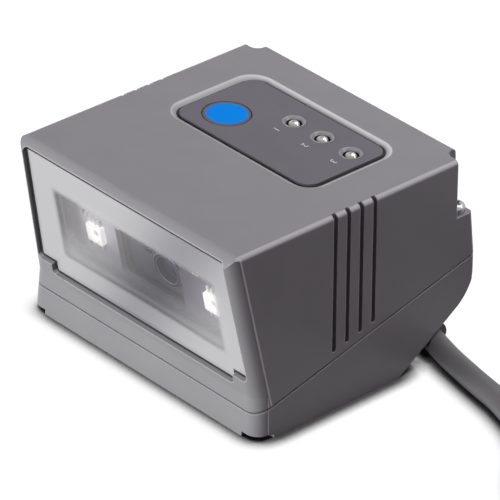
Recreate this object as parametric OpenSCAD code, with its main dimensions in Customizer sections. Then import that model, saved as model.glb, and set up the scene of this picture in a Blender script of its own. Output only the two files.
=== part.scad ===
// Fixed barcode reader: a two-part moulded housing with a window that leans forward,
// a label with a trigger key and three lamps on top, and a captive data cord.
// Z = 0 is the mounting face under the base, the window faces -Y, X = 0 is the middle.

/* [Housing] */
// Width of the base at the mounting face
body_w = 70.6; // [62:0.2:90]
// Depth from the nose over the window to the back wall
body_d = 71; // [66:0.5:90]
// Height of the top face
body_h = 45.5; // [42:0.5:60]
// Wall thickness
wall = 2.2; // [1.6:0.1:2.6]
// Inward lean of each side, in degrees
side_draft = 3.4; // [1:0.2:5]
// Inward lean of the back wall of the cover, in degrees
back_draft = 6.2; // [2:0.2:9]
// Radius of the upright front edges
corner_r = 3.2; // [2:0.1:4]
// Radius of the upright back edges
back_r = 0.8; // [0.6:0.1:2.5]
// Step where the rounded upright edges meet the sides
edge_step = 0.15; // [0.05:0.05:0.3]
// Radius along the side and back edges of the top face
top_r = 1.2; // [0.6:0.1:1.6]
// Radius of the nose over the window
nose_r = 3; // [2:0.1:3.5]
// Lean of the window and of the joint plane, in degrees
front_lean = 13.7; // [8:0.1:15]
// Height at which the front starts to lean
chin_h = 10; // [9:0.5:12]
// Height of the joint plane at the front
joint_h = 6.2; // [5.4:0.1:7]
// Thickness of the seal between cover and base
joint_t = 0.5; // [0.3:0.1:0.8]
// Distance of the seal from the outer skin
joint_inset = 0.5; // [0.3:0.1:0.8]
// Length of the flat mounting face
flat_l = 41.3; // [38:0.5:44]
// Slope of the undercut behind the mounting face, in degrees
slant = 32.2; // [28:0.2:36]
// Radius between the undercut and the back wall
slant_r = 11.5; // [8:0.5:12]
// Height of the reliefs under the two front corners
relief_h = 1.1; // [0.6:0.1:1.5]
// Length of those reliefs along the front and the sides
relief_l = 4.8; // [3.6:0.2:5.4]

/* [Side grooves] */
// Number of grooves on each side
groove_n = 4; // [1:1:6]
// Distance between grooves
groove_pitch = 3.76; // [3:0.02:4.5]
// Width of a groove
groove_w = 1.2; // [0.8:0.1:1.6]
// Depth of a groove
groove_d = 1.1; // [0.5:0.1:1.2]
// Distance from the front of the base to the first groove
groove_y = 21.7; // [18:0.1:24]
// Height of the groove ends above the joint plane
groove_gap = 1.6; // [1:0.1:3]

/* [Window] */
// Depth of the window below the edges round it
recess_d = 1.1; // [0.8:0.1:2]
// Thickness of the window
window_t = 1.4; // [1:0.1:1.8]
// Thickness of the housing at each side of the window
cheek_w = 2.3; // [2:0.1:2.8]
// Thickness of the housing over the window
lip_t = 1.3; // [1.2:0.1:2.4]
// Distance from the chin line up to the ledge under the window
ledge_h = 1.5; // [1.2:0.1:2]
// Width of the blocks in the lower corners
notch_w = 4.4; // [3.5:0.1:5]
// Height of the blocks in the lower corners
notch_h = 2.5; // [2:0.1:3]
// Corner radius of the recess
window_r = 1.1; // [0.9:0.1:1.4]
// Width of the seal round the window
seal_w = 0.7; // [0.5:0.1:0.8]
// Width of the shelf that the window rests on
shelf_w = 0.9; // [0.8:0.1:1.2]
// Thickness of the light hood behind the window
hood_t = 2; // [1.5:0.1:2.4]
// Clearance round the light hood
hood_gap = 0.1; // [0.05:0.05:0.2]
// Width of the light hood at each side of its opening
hood_side = 5.4; // [4.8:0.1:8]
// Height of the opening in the light hood
hood_h = 19.6; // [16:0.2:21]
// Distance from the chin line up to the opening in the light hood
hood_z = 6.4; // [5.8:0.1:7]
// Corner radius of that opening
hood_r = 2; // [1:0.1:3]
// Diameter of the posts behind the light hood
hood_post_d = 2.4; // [2:0.1:2.6]
// Distance of those posts from the opening
hood_post_gap = 0.2; // [0.1:0.1:0.3]
// Thickness of the rim that holds the light hood
rim_t = 1.5; // [1:0.1:2]
// Width of that rim
rim_w = 2; // [1.6:0.1:2.2]

/* [Label, key and lamps] */
// Width of the label recess
label_w = 41.4; // [38:0.2:46]
// Length of the label recess
label_l = 24.2; // [22:0.2:27]
// Distance from the front of the base to the label recess
label_y = 25.1; // [23:0.1:27]
// Corner radius of the label recess
label_r = 3.6; // [2:0.1:5]
// Depth of the label recess
label_d = 0.9; // [0.6:0.05:1]
// Width of the sloping wall round the label
label_slope = 1.8; // [0.6:0.1:2]
// Thickness of the label
overlay_t = 0.6; // [0.3:0.05:0.7]
// Gap round the label
overlay_gap = 0.25; // [0.1:0.05:0.5]
// Diameter of the trigger key
key_d = 10.4; // [8:0.1:11]
// Distance of the key from the middle, to the left
key_x = 12.5; // [11:0.1:14]
// Distance of the key from the front edge of the label recess
key_y = 8.4; // [7.5:0.1:11]
// Rise of the key over the label
key_rise = 0.05; // [0:0.05:0.2]
// Radius of the key's upper edge
key_edge_r = 0.2; // [0.1:0.05:0.5]
// Travel of the key
key_travel = 0.5; // [0.3:0.05:0.8]
// Running gap round the key
key_gap = 0.2; // [0.2:0.05:0.5]
// Thickness of the flange under the key
key_flange_t = 0.8; // [0.6:0.1:1.2]
// Width of that flange round the key
key_flange_w = 1; // [0.8:0.1:1.2]
// Gap between the flange and the cover above it
key_flange_gap = 0.2; // [0.1:0.05:0.3]
// Diameter of the stem under the key
key_stem_d = 3.6; // [3:0.1:4.4]
// Play between the pressed stem and the switch
key_stem_gap = 0.1; // [0.05:0.05:0.2]
// Diameter of the lamps
lamp_d = 3.2; // [2.8:0.1:3.6]
// Clearance round the lamps in the cover
lamp_gap = 0.15; // [0.1:0.05:0.3]
// Depth of the lamp tops below the top face
lamp_drop = 0.1; // [0:0.05:0.4]
// Width of the rim at the foot of a lamp
lamp_rim_w = 0.4; // [0.2:0.1:0.6]
// Thickness of that rim
lamp_rim_t = 1; // [0.6:0.1:1.4]
// Diameter of the round windows in the label over the lamps
lamp_dish_d = 4.8; // [4.2:0.1:5.6]
// Distance between lamps
lamp_pitch = 8.55; // [7:0.05:9]
// Distance of the middle lamp from the middle, to the right
lamp_x = 7.35; // [6:0.05:8]
// Distance of the lamps from the front edge of the label recess
lamp_y = 17.2; // [15:0.1:19]

/* [Fixings] */
// Width of the notch over each rear screw
ear_w = 4.2; // [3.8:0.1:6]
// Length of the notch over each rear screw
ear_l = 3.4; // [3.2:0.1:5]
// Depth of the notch below the top face
ear_drop = 13.6; // [11:0.1:16]
// Inner radius of the notch
ear_r = 2.2; // [1.5:0.1:3]
// Thread diameter of the rear screws
screw_d = 2.2; // [2:0.1:2.6]
// Length of the rear screws under the head
screw_l = 16; // [14:0.5:17]
// Head diameter of the rear screws
screw_head_d = 4; // [3.6:0.1:4.2]
// Head height of the rear screws
screw_head_h = 2; // [1.4:0.1:2.6]
// Radius of the upper edge of those heads
screw_head_r = 0.9; // [0.4:0.1:1.2]
// Gap between those heads and the wall in front of them
screw_head_gap = 0.15; // [0.1:0.05:0.3]
// Thread diameter of the screws under the base
base_screw_d = 2.5; // [2:0.1:3]
// Length of the screws under the base, under the head
base_screw_l = 8; // [7:0.5:9]
// Head diameter of the screws under the base
base_head_d = 5; // [4.4:0.1:5.2]
// Head height of the screws under the base
base_head_h = 1.8; // [1.4:0.1:2.2]
// Depth of the seats of those heads
base_screw_seat = 2.6; // [2.4:0.1:3]
// Distance of those screws from the middle
base_screw_x = 25; // [23:0.5:26]
// Clearance round screw shanks
screw_gap = 0.15; // [0.1:0.05:0.3]
// Room past the tips of screws
tip_gap = 0.6; // [0.3:0.1:1]
// Distance between the mounting inserts across the base
mount_dx = 40; // [34:0.5:42]
// Distance between the mounting inserts along the base
mount_dy = 24; // [20:0.5:24]
// Distance from the front of the base to the first inserts
mount_y = 11.7; // [11:0.1:13]
// Bore of the mounting inserts
insert_bore = 2.5; // [2:0.1:3]
// Outer diameter of the mounting inserts
insert_d = 4.6; // [4.2:0.1:5]
// Length of the mounting inserts
insert_l = 5; // [4:0.1:5.4]
// Diameter of the bosses round the inserts and screws
boss_d = 6.6; // [6:0.1:7.2]
// Length by which the screw bosses run into the front wall
boss_sink = 0.4; // [0.2:0.1:0.6]
// Height of the insert bosses, which carry the main board
boss_h = 6; // [5.8:0.1:7]

/* [Boards and optics] */
// Thickness of the circuit boards
board_t = 1.2; // [0.8:0.1:1.6]
// Corner radius of the circuit boards
board_r = 1; // [0.5:0.1:1.5]
// Width of the main board
main_w = 50; // [47:0.5:54]
// Length of the main board
main_l = 31; // [30:0.5:32]
// Distance from the front of the base to the main board
main_y = 9; // [8.8:0.1:10]
// Width of the indicator board
lampboard_w = 44; // [42:0.5:48]
// Length of the indicator board
lampboard_l = 22; // [21:0.5:26]
// Height of the posts over the indicator board
lampboard_drop = 4.6; // [4.2:0.1:5.4]
// Diameter of those posts
post_d = 4; // [3:0.1:4.4]
// Margin of the indicator board outside those posts
post_margin = 0.4; // [0.2:0.1:0.6]
// Side of the tactile switch
switch_w = 6; // [5:0.1:7]
// Height of the tactile switch, with its plunger
switch_h = 1.6; // [1.3:0.1:2]
// Height of its plunger
plunger_h = 0.5; // [0.3:0.1:0.6]
// Diameter of its plunger
plunger_d = 3; // [2.5:0.1:3.5]
// Gap between the light hood's back and the illumination board
light_gap = 2; // [1.8:0.1:2.6]
// Margin of the illumination board at each side of the hood's opening
light_margin_x = 3; // [2.8:0.1:3.2]
// Margin of the illumination board over and under the hood's opening
light_margin_z = 1; // [0.6:0.1:1.6]
// Side of the illumination packages
led_w = 4.6; // [3.5:0.1:5]
// Thickness of the illumination packages
led_t = 1.2; // [0.8:0.1:1.6]
// Corner radius of the packages
led_r = 0.4; // [0.2:0.1:0.6]
// Diameter of the wells in the packages
led_well_d = 3.6; // [2.8:0.1:4]
// Distance of the packages from the middle
led_x = 18; // [16:0.1:20]
// Height of the packages over the chin line, along the window
led_z = 14; // [11:0.1:16]
// Height of the optical axis over the chin line, along the window
optic_z = 12.4; // [11.5:0.1:13]
// Distance of the lens from the middle, to the right
lens_x = 1.2; // [-1:0.1:2]
// Diameter of the lens
lens_d = 6.6; // [5.5:0.1:7]
// Thickness of the lens
lens_t = 2.4; // [1.6:0.1:3]
// Depth of the lens in its barrel
lens_set = 0.6; // [0.3:0.1:1]
// Wall of the lens barrel
barrel_t = 0.9; // [0.6:0.1:1.2]
// Length of the lens barrel
barrel_l = 11; // [10:0.5:13]
// Distance of the barrel front behind the illumination board
barrel_gap = 0.4; // [0.3:0.1:1]
// Width of the camera block
camera_w = 22; // [20:0.5:24]
// Height of the camera block
camera_h = 14; // [12.5:0.1:15]
// Length of the camera block
camera_l = 14; // [13.5:0.5:16]
// Corner radius of the camera block
camera_r = 1.2; // [0.6:0.1:2]
// Room beside the lenses in the illumination board
camera_room = 3; // [2:0.1:3.4]
// Rim of the illumination board over the camera block
camera_lap = 0.6; // [0.2:0.1:1]
// Distance of the camera block behind the illumination board
camera_gap = 2; // [1.6:0.1:3]
// Diameter of the aiming lens
aimer_d = 3.6; // [3:0.1:4]
// Distance of the aiming lens from the lens, to the left
aimer_x = 6.9; // [6.6:0.1:8]
// Height of the aiming lens over the lens
aimer_z = 2.4; // [0:0.1:3]
// Reach of the aiming lens out of the camera block
aimer_out = 0.4; // [0.2:0.1:0.8]
// Margin of the sensor board round the camera block
sensor_margin = 0.5; // [0.2:0.1:0.8]
// Thickness of the camera bracket
bracket_t = 2; // [1.5:0.1:2.5]
// Distance of the bracket from the ends of the camera block
bracket_inset = 1; // [0.5:0.1:2]
// Diameter of the beeper
beeper_d = 9; // [8:0.5:10]
// Height of the beeper
beeper_h = 4.5; // [3.5:0.1:5.5]
// Diameter of the sound hole
beeper_hole_d = 2; // [1:0.1:3]
// Depth of the sound hole
beeper_hole_h = 0.8; // [0.4:0.1:1.2]
// Width of the cord's header
header_w = 11; // [9:0.5:12]
// Length of the cord's header
header_l = 4.6; // [4:0.1:5]
// Height of the cord's header
header_h = 5; // [4:0.1:6]
// Wall of the cord's header
header_wall = 0.8; // [0.6:0.1:1]
// Margin of the main board beside the beeper and the header
main_margin = 2; // [1.4:0.1:2.4]

/* [Cord] */
// Diameter of the cord
cord_d = 5.2; // [4.5:0.1:5.4]
// Diameter of the strain relief at its outer end
boot_d = 7.8; // [7:0.1:8]
// Diameter of the strain relief at its elbow
boot_root_d = 9; // [8.4:0.1:9.4]
// Diameter of the neck that goes through the base
boot_neck_d = 6.4; // [5.6:0.1:7]
// Thickness of the flange inside the base
boot_flange_t = 1.2; // [0.8:0.1:1.6]
// Length of the strain relief
boot_l = 16.5; // [14:0.5:17]
// Length of the taper at its elbow
boot_taper_l = 4; // [3:0.1:5]
// Length of the collar at its outer end
boot_collar_l = 2.6; // [2:0.1:4]
// Height of that collar over the sleeve
boot_collar_h = 0.6; // [0.4:0.1:0.8]
// Room round the strain relief in its pocket
boot_gap = 0.8; // [0.5:0.1:1]
// Length of that pocket past the strain relief
boot_room_l = 0.2; // [0.1:0.1:0.5]
// Diameter of the coil at the middle of its turns
coil_d = 56; // [52:0.2:60]
// Turns of the coil side by side
coil_cols = 5; // [4:1:5]
// Layers of the coil
coil_rows = 2; // [1:1:2]
// Width of the tie round the coil
tie_w = 6; // [4:0.5:10]
// Thickness of the tie
tie_t = 1; // [0.6:0.1:1.6]
// Width of the plug grip
plug_w = 15; // [13:0.5:18]
// Height of the plug grip
plug_h = 8.4; // [7.6:0.1:10]
// Length of the plug grip
plug_l = 26; // [20:0.5:32]
// Radius along the plug grip
plug_r = 2; // [1:0.1:3]
// Width of the plug's steel shell
shell_w = 12; // [11:0.1:12.5]
// Height of the plug's steel shell
shell_h = 4.5; // [4.2:0.1:5]
// Length of the steel shell outside the grip
shell_l = 12; // [11:0.5:14]
// Length of the steel shell inside the grip
shell_in = 6; // [4:0.5:8]
// Corner radius of the steel shell
shell_r = 0.5; // [0.4:0.1:0.8]
// Wall of the steel shell
shell_t = 0.4; // [0.3:0.05:0.6]
// Thickness of the tongue in the shell
tongue_t = 1.8; // [1.4:0.1:2]
// Clearance of the tongue in the shell, and from its mouth
tongue_gap = 0.1; // [0.05:0.05:0.2]

/* [Hidden] */
$fn = 64;
eps = 0.01;
over_tangent = 1.002;
cover_colour = "#7d7d7f";
dark = "#242326";
cord_colour = "#6f6e70";
board_green = "#2f5d46";

// Places along the housing
nose = (body_h - chin_h - nose_r) * tan(front_lean) - nose_r / cos(front_lean) + nose_r;
front_y = -body_d / 2 + nose;
back_y = body_d / 2;
function hw(z) = body_w / 2 - z * tan(side_draft);
function joint_z(y) = joint_h + (y - front_y) * tan(front_lean);
cover_z = joint_z(back_y) + joint_t;
function back_at(z) = back_y - (z - cover_z) * tan(back_draft);
// A point of the leaning front, y behind it and z up along it, as [Y, Z] of the part
function front_pt(y, z) = [
    front_y + y * cos(front_lean) - z * sin(front_lean),
    chin_h + y * sin(front_lean) + z * cos(front_lean)
];

// Layers behind the front: window, light hood, rim, illumination board, camera block
hood_y = recess_d + window_t;
rim_y = hood_y + hood_t;
rim_back = rim_y + rim_t;
light_y = rim_y + light_gap;
light_back = light_y + board_t;
barrel_y = light_back + barrel_gap;
camera_y = light_back + camera_gap;
camera_back = camera_y + camera_l;
window_top = (body_h - lip_t - chin_h - recess_d * sin(front_lean)) / cos(front_lean);
function window_hw(z) = hw(front_pt(recess_d, z)[1]) - cheek_w;
hood_w = 2 * (window_hw(hood_z + hood_h / 2) - hood_side);

// Label, key and lamps
label_front = front_y + label_y;
label_z = body_h - label_d;
ceiling_z = body_h - wall;
key_at = [-key_x, label_front + key_y];
lamp_at = [for (i = [-1:1]) [lamp_x + i * lamp_pitch, label_front + lamp_y]];
lampboard_z = ceiling_z - lampboard_drop - board_t;
lampboard_y = label_front + (label_l - lampboard_l) / 2;
post_in = post_d / 2 + post_margin;
post_at = [for (x = [-1, 1], y = [0, 1])
    [x * (lampboard_w / 2 - post_in), lampboard_y + post_in + y * (lampboard_l - 2 * post_in)]];

// Rear screws stand in the ears, close to the wall in front of them
ear_z = body_h - ear_drop;
ear_x = hw(body_h) - ear_w;
ear_y = back_at(body_h) - ear_l;
ear_screw = [(ear_x + hw(ear_z)) / 2, ear_y + screw_head_d / 2 + screw_head_gap];
base_screw_y = front_y + wall + boss_d / 2 - boss_sink;

// Mounting inserts and the main board on their bosses
mount_at = [for (x = [-1, 1], y = [0, 1]) [x * mount_dx / 2, front_y + mount_y + y * mount_dy]];
main_top = boss_h + board_t;

// Undercut behind the mounting face
slant_y = front_y + flat_l;
slant_z = (back_y - slant_y) * tan(slant);

// The cord lies where it was put, measured from the right-hand end of the mounting face's back edge
cord_at = [body_w / 2, slant_y, 0];
boot_end = cord_at + [-2.7, 11.7, 4];
boot_dir = unit([0.966, -0.192, -0.17]);
boot_start = boot_end - boot_dir * boot_l;
lead_pts = [boot_end, for (p = [
    [0.7, 11, 3.4], [5, 10.1, 2.9], [10, 9.1, 2.7], [16, 7.8, 2.7], [22, 6.6, 2.7], [26, 5.3, 2.7],
    [30, 3.8, 2.7], [34, 1.6, 2.7], [37.3, -0.7, 2.7], [40.5, -3.7, 2.7], [43.3, -7.2, 2.7]]) cord_at + p];
tail_pts = [for (p = [
    [72.7, 55.8, 7.8], [66.7, 55.8, 7.8], [60.7, 55.8, 7.8], [54.7, 55.5, 7.6], [48.7, 54.5, 6.6],
    [42.7, 52.9, 5.4], [38.7, 51.4, 4.5], [34.7, 50.4, 4.2], [30.7, 50.4, 4.2]]) cord_at + p];
coil_at = cord_at + [72.7, 17.4, 0];
tie_angle = 20;
coil_h = coil_rows * cord_d;
plug_at = tail_pts[len(tail_pts) - 1];

// Extrusions along X and Y of an outline drawn in the plane across them
module slab_x(a, b) translate([a, 0, 0]) rotate([90, 0, 90]) linear_extrude(b - a) children();
module slab_y(a, b) translate([0, b, 0]) rotate([90, 0, 0]) linear_extrude(b - a) children();
// The frame of the leaning front: y goes into the housing, z up along the window
module at_front() translate([0, front_y, chin_h]) rotate([front_lean, 0, 0]) children();
module both_sides() for (s = [0, 1]) mirror([s, 0, 0]) children();
module at_ear_screws(z = 0) both_sides() translate([ear_screw.x, ear_screw.y, z]) children();
module at_base_screws(z = 0) both_sides() translate([base_screw_x, base_screw_y, z]) children();

function unit(v) = v / norm(v);
// Tangent points and centre of a rounded corner between two neighbours
function corner(a, p, b, r) =
    let (u = unit(a - p), v = unit(b - p), half = acos(u * v) / 2)
    [p + u * r / tan(half), p + v * r / tan(half), p + unit(u + v) * r / sin(half)];

// A polygon whose convex corners are rounded to the given radii, 0 for sharp. The circles are a hair larger
// than tangent ones, so that they meet the straight edges in clean points.
module rounded(pts, radii) difference() {
    n = len(pts);
    polygon(pts);
    for (i = [0:n - 1]) if (radii[i] > 0)
        let (c = corner(pts[(i + n - 1) % n], pts[i], pts[(i + 1) % n], radii[i])) difference() {
            polygon([c[2], for (p = [c[0], pts[i], c[1]]) p + (p - c[2]) / 2]);
            translate(c[2]) circle(radii[i] * over_tangent);
        }
}

module rounded_box(w, l, r) rounded([[-w / 2, 0], [w / 2, 0], [w / 2, l], [-w / 2, l]], [r, r, r, r]);

// What a rounded upright edge takes away: the edge at the origin, the solid at -X and +Y
module edge_cut(r, step) linear_extrude(2 * body_h) difference() {
    translate([-r - step, -1]) square([r + step + 1, r + 1]);
    translate([-r - step, r]) circle(r);
}

// Lean of a side seen square to a wall that leans itself
function draft_along(lean) = atan(tan(side_draft) * cos(lean));

module front_edge_cuts(inset = 0) both_sides() {
    r = corner_r - inset;
    intersection() {
        translate([hw(0) - inset, front_y + inset, 0]) rotate([0, -side_draft, 0])
            translate([0, 0, -1]) edge_cut(r, edge_step);
        translate([0, front_y - 2, -2]) cube([body_w, corner_r + 4, chin_h + 2]);
    }
    intersection() {
        at_front() translate([hw(chin_h), 0, 0]) rotate([0, -draft_along(front_lean), 0])
            translate([0, 0, -2]) edge_cut(corner_r, edge_step);
        translate([0, front_y - body_h, chin_h]) cube([body_w, 2 * body_h, body_h]);
    }
}

module back_edge_cuts(z, lean, inset = 0) both_sides()
    translate([hw(z) - inset, back_y - inset, z]) rotate([lean, 0, 0]) rotate([0, -draft_along(lean), 0])
        translate([0, 0, -cover_z]) mirror([0, 1, 0]) edge_cut(back_r - inset, edge_step);

// The two drafted sides and the rounded edges of the top face, moved in by inset
module between_sides(inset = 0) slab_y(-body_d, body_d) rounded(
    [for (p = [[-1, -2], [1, -2], [1, body_h], [-1, body_h]]) [p[0] * (hw(p[1]) - inset), p[1]]],
    [0, 0, top_r, top_r]);

// Outline of the window recess in the plane of the front, moved in by e
module window_outline(e = 0) {
    z = [ledge_h + e, ledge_h + notch_h + e, window_top - e];
    x = [window_hw(ledge_h) - notch_w - e, window_hw(z[1]) - e, window_hw(z[2]) - e];
    r = window_r - e;
    rounded([[-x[0], z[0]], [x[0], z[0]], [x[0], z[1]], [x[1], z[1]], [x[2], z[2]], [-x[2], z[2]],
        [-x[1], z[1]], [-x[0], z[1]]], [r, r, 0, r, r, r, r, 0]);
}

module ear_column(margin) translate([ear_x - margin, ear_y - margin, 0]) cube([body_w, body_d, body_h]);

module cover_cavity() {
    top = (ceiling_z - chin_h - rim_back * sin(front_lean)) / cos(front_lean);
    difference() {
        intersection() {
            slab_x(-body_w, body_w) polygon([[front_y + wall, 0], [front_y + wall, chin_h - wall],
                front_pt(rim_back, 0), front_pt(rim_back, top),
                [back_at(ceiling_z) - wall, ceiling_z], [back_y - wall, cover_z], [back_y - wall, 0]]);
            between_sides(wall);
        }
        both_sides() ear_column(wall);
        for (p = post_at) translate([p.x, p.y, ceiling_z - lampboard_drop]) cylinder(d = post_d, h = body_h);
        at_base_screws() cylinder(d = boss_d, h = chin_h + wall);
    }
}

module groove_cuts() both_sides() translate([hw(0), 0, 0]) rotate([0, -side_draft, 0])
    for (i = [0:groove_n - 1])
        let (y = front_y + groove_y + i * groove_pitch, z = joint_z(y) + joint_t + groove_gap)
        slab_x(-groove_d, wall) union() {
            translate([y, z + groove_w / 2]) circle(d = groove_w);
            translate([y - groove_w / 2, z + groove_w / 2]) square([groove_w, body_h]);
        }

// A pocket whose walls and corners widen upwards, drawn twice as deep as it is
module label_recess() {
    h = 2 * label_d;
    flare = 2 * label_slope;
    x = label_w / 2 - label_r;
    y = label_l / 2 - label_r;
    module across(w) polygon([[-w / 2, 0], [w / 2, 0], [w / 2 + flare, h], [-w / 2 - flare, h]]);
    translate([0, label_front + label_l / 2, label_z]) {
        slab_x(-x, x) across(label_l);
        slab_y(-y, y) across(label_w);
        for (sx = [-1, 1], sy = [-1, 1]) translate([sx * x, sy * y, 0])
            cylinder(r1 = label_r, r2 = label_r + flare, h = h);
    }
}

module top_cover() color(cover_colour) difference() {
    intersection() {
        slab_x(-body_w, body_w) rounded(
            [[front_y, joint_h + joint_t], [front_y, chin_h],
                [front_y - (body_h - chin_h) * tan(front_lean), body_h],
                [back_at(body_h), body_h], [back_y, cover_z]],
            [0, 0, nose_r, top_r, 0]);
        between_sides();
    }
    front_edge_cuts();
    back_edge_cuts(cover_z, back_draft);
    cover_cavity();
    both_sides() translate([0, 0, ear_z]) linear_extrude(body_h) rounded(
        [[ear_x, ear_y], [body_w, ear_y], [body_w, body_d], [ear_x, body_d]], [ear_r, 0, 0, 0]);
    groove_cuts();
    at_front() {
        slab_y(-2 * nose_r, hood_y) window_outline();
        slab_y(0, rim_y) window_outline(shelf_w);
        slab_y(0, rim_back + wall) window_outline(rim_w);
    }
    label_recess();
    translate([key_at.x, key_at.y, label_z - wall]) cylinder(d = key_d + 2 * key_gap, h = 2 * wall);
    for (p = lamp_at) translate([p.x, p.y, label_z - wall]) cylinder(d = lamp_d + 2 * lamp_gap, h = 2 * wall);
    at_ear_screws() cylinder(d = screw_d + 2 * screw_gap, h = body_h);
    at_base_screws(base_screw_seat) cylinder(d = base_screw_d + 2 * screw_gap, h = base_screw_l + tip_gap);
}

// The base outline moved in by e: flat mounting face, undercut and back wall
module base_outline(e = 0) rounded(
    [[front_y + e, e], [slant_y - e * tan(slant / 2), e], [back_y - e, slant_z + e * tan(45 - slant / 2)],
        [back_y - e, joint_z(back_y - e) + 2 * e], [front_y + e, joint_z(front_y + e) + 2 * e]],
    [0, 0, slant_r - e, 0, 0]);

// Frames of the strain relief: along its arm, and into the base through the undercut
module along_boot() translate(boot_start)
    rotate([0, acos(boot_dir.z), atan2(boot_dir.y, boot_dir.x)]) children();
module into_base() translate(boot_start) rotate([slant, 0, 0]) children();

// The pocket of the strain relief, grown by e
module boot_room(e) {
    along_boot() cylinder(d = boot_root_d + 2 * boot_gap + 2 * e, h = boot_l + boot_room_l);
    translate(boot_start) sphere(d = boot_root_d + 2 * boot_gap + 2 * e);
}

module base_cover() color(cover_colour) difference() {
    intersection() {
        slab_x(-body_w, body_w) base_outline();
        between_sides();
    }
    front_edge_cuts();
    back_edge_cuts(0, 0);
    difference() {
        intersection() {
            slab_x(-body_w, body_w) base_outline(wall);
            between_sides(wall);
        }
        both_sides() ear_column(wall);
        at_base_screws() cylinder(d = boss_d, h = body_h);
        for (p = mount_at) translate([p.x, p.y, 0]) cylinder(d = boss_d, h = boss_h);
        boot_room(wall);
    }
    boot_room(0);
    into_base() cylinder(d = boot_neck_d, h = body_h / 2);
    for (p = mount_at) translate([p.x, p.y, -1]) cylinder(d = insert_d, h = insert_l + 1);
    both_sides() translate([hw(0) - relief_l, front_y - 1, -1])
        cube([relief_l + 1, relief_l + 1, relief_h + 1]);
    at_base_screws(-1) {
        cylinder(d = base_screw_d + 2 * screw_gap, h = body_h);
        cylinder(d = base_head_d + 2 * screw_gap, h = base_screw_seat + 1);
    }
    at_ear_screws(ear_z - screw_l - tip_gap) cylinder(d = screw_d + 2 * screw_gap, h = body_h);
}

module joint_seal() color(dark) difference() {
    intersection() {
        slab_x(-body_w, body_w) polygon([for (p = [[joint_inset, 0], [joint_inset, joint_t]])
            [front_y + p[0], joint_z(front_y + p[0]) + p[1]],
            for (p = [[joint_inset, joint_t], [joint_inset, 0]])
            [back_y - p[0], joint_z(back_y - p[0]) + p[1]]]);
        between_sides(joint_inset);
    }
    front_edge_cuts(joint_inset);
    back_edge_cuts(0, 0, joint_inset);
    intersection() {
        translate([-body_w, front_y + wall, 0]) cube([2 * body_w, back_y - front_y - 2 * wall, body_h]);
        between_sides(wall);
    }
    at_ear_screws() cylinder(d = screw_d + 2 * screw_gap, h = body_h);
}

module window() color("#cfd6da", 0.35) at_front() slab_y(recess_d, hood_y) window_outline(seal_w);

module window_seal() color(dark) at_front() difference() {
    slab_y(recess_d, hood_y) window_outline();
    slab_y(0, rim_y) window_outline(seal_w);
}

// Four posts behind the hood carry the illumination board
module light_hood() color("#c4c3c6") at_front() {
    x = hood_w / 2 + hood_post_gap + hood_post_d / 2;
    z = [hood_z + hood_post_d, hood_z + hood_h - hood_post_d];
    difference() {
        slab_y(hood_y, rim_y) window_outline(shelf_w + hood_gap);
        slab_y(0, rim_back) translate([0, hood_z]) rounded_box(hood_w, hood_h, hood_r);
    }
    for (sx = [-1, 1], pz = z) translate([sx * x, rim_y, pz]) rotate([-90, 0, 0])
        cylinder(d = hood_post_d, h = light_gap);
}

module label_overlay() color("#6b6a70") translate([0, 0, label_z]) linear_extrude(overlay_t) difference() {
    translate([0, label_front + overlay_gap])
        rounded_box(label_w - 2 * overlay_gap, label_l - 2 * overlay_gap, label_r - overlay_gap);
    translate(key_at) circle(d = key_d + 2 * key_gap);
    for (p = lamp_at) translate(p) circle(d = lamp_dish_d);
}

// A flush cap, a flange that stops it under the ceiling, and a stem over the switch
module trigger_key() color("#0080e0") {
    top = label_z + overlay_t + key_rise;
    flange_top = ceiling_z - key_flange_gap;
    stem_z = lampboard_z + board_t + switch_h + key_travel + key_stem_gap;
    r = key_d / 2;
    translate([key_at.x, key_at.y, 0]) rotate_extrude() rounded(
        [[0, stem_z], [key_stem_d / 2, stem_z], [key_stem_d / 2, flange_top - key_flange_t],
            [r + key_flange_w, flange_top - key_flange_t], [r + key_flange_w, flange_top],
            [r, flange_top], [r, top], [0, top]],
        [0, 0, 0, 0, 0, 0, key_edge_r, 0]);
}

module key_switch() color("#3a3a3c") translate([key_at.x, key_at.y, lampboard_z + board_t]) {
    translate([-switch_w / 2, -switch_w / 2, 0]) cube([switch_w, switch_w, switch_h - plunger_h]);
    cylinder(d = plunger_d, h = switch_h);
}

// A round-topped lamp on the indicator board, standing up through the cover
module lamp(p) translate([p.x, p.y, lampboard_z + board_t]) {
    h = body_h - lamp_drop - lampboard_z - board_t;
    cylinder(d = lamp_d + 2 * lamp_rim_w, h = lamp_rim_t);
    cylinder(d = lamp_d, h = h - lamp_d / 2);
    translate([0, 0, h - lamp_d / 2]) sphere(d = lamp_d);
}
module trigger_lamp() color("#e9e6df") lamp(lamp_at[0]);
module good_read_lamp() color("#e8d9d4") lamp(lamp_at[1]);
module power_lamp() color("#e9e2c4") lamp(lamp_at[2]);

module indicator_board() color(board_green) translate([0, lampboard_y, lampboard_z])
    linear_extrude(board_t) rounded_box(lampboard_w, lampboard_l, board_r);

module illumination_board() color("#b9b8be") at_front() difference() {
    slab_y(light_y, light_back) translate([0, hood_z - light_margin_z])
        rounded_box(hood_w + 2 * light_margin_x, hood_h + 2 * light_margin_z, board_r);
    slab_y(0, camera_back) translate([lens_x - aimer_x / 2, optic_z - camera_h / 2 + camera_lap])
        rounded_box(lens_d + aimer_x + 2 * camera_room, camera_h - 2 * camera_lap, camera_r);
}

// A flat square package with a round well over the chip
module illumination_led(side) color("#f4f2ea") at_front() difference() {
    slab_y(light_y - led_t, light_y) translate([side * led_x, led_z - led_w / 2])
        rounded_box(led_w, led_w, led_r);
    translate([side * led_x, light_y - led_t - eps, led_z]) rotate([-90, 0, 0])
        cylinder(d1 = led_well_d, d2 = 0.8 * led_well_d, h = led_t / 2);
}
module illumination_led_left() illumination_led(-1);
module illumination_led_right() illumination_led(1);

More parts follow.
